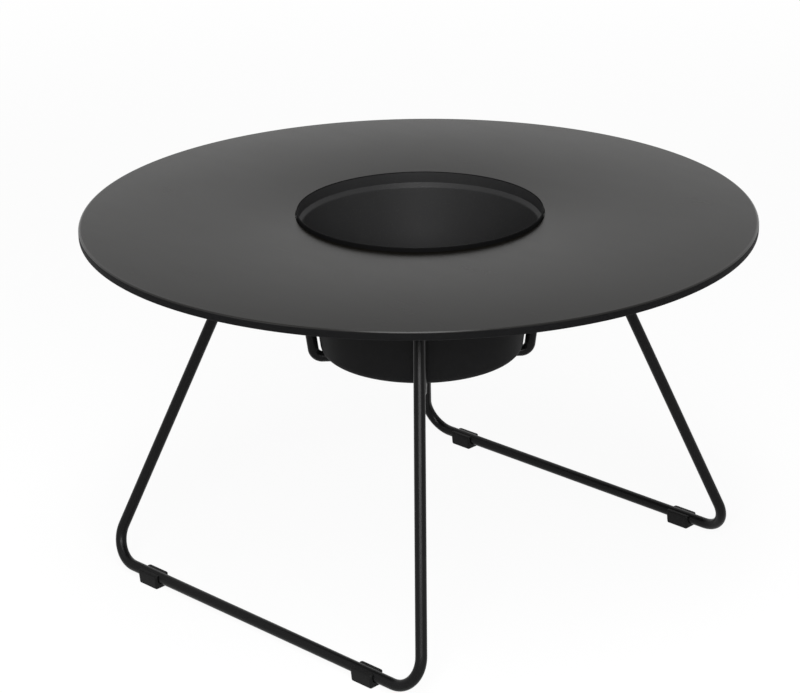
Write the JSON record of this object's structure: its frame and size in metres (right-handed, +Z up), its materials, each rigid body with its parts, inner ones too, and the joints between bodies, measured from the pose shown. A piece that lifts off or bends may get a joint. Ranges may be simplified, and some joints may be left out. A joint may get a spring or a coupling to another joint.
{
  "type": "ice bucket coffee table",
  "caption": "Low round patio table on bent rod sled legs, with a tapered ice bucket that lifts out of a hole in the middle of the top.",
  "frame": {"origin": "on the floor, under the centre of the round top", "axes": "+Z up; the two floor runners lie along X, the near one at -Y and the far one at +Y"},
  "size_m": [0.72, 0.72, 0.407],
  "materials": {
    "top_coat": "dark grey satin powder coat on an aluminium plate",
    "frame_coat": "near-black satin powder coat on steel rod",
    "bucket_coat": "near-black fine-textured powder coat on thin sheet",
    "screws": "black oxide",
    "glides": "black moulded plastic, matt"
  },
  "bodies": {
    "table": {"tabletop": "top_coat", "frame_rod_near": "frame_coat", "frame_rod_far": "frame_coat", "cradle_plate": "frame_coat", "tab_left": "frame_coat", "screw_left_1": "screws", "screw_left_2": "screws", "glide_left": "glides", "tab_front": "frame_coat", "screw_front_1": "screws", "screw_front_2": "screws", "glide_front": "glides", "tab_right": "frame_coat", "screw_right_1": "screws", "screw_right_2": "screws", "glide_right": "glides", "tab_back": "frame_coat", "screw_back_1": "screws", "screw_back_2": "screws", "glide_back": "glides"},
    "bucket": {"ice_bucket": "bucket_coat"}
  },
  "joints": [
    {"name": "bucket_lift", "type": "slide", "parent": "table", "child": "bucket", "axis": [0, 0, 1], "range_m": [0, 0.165]}
  ]
}
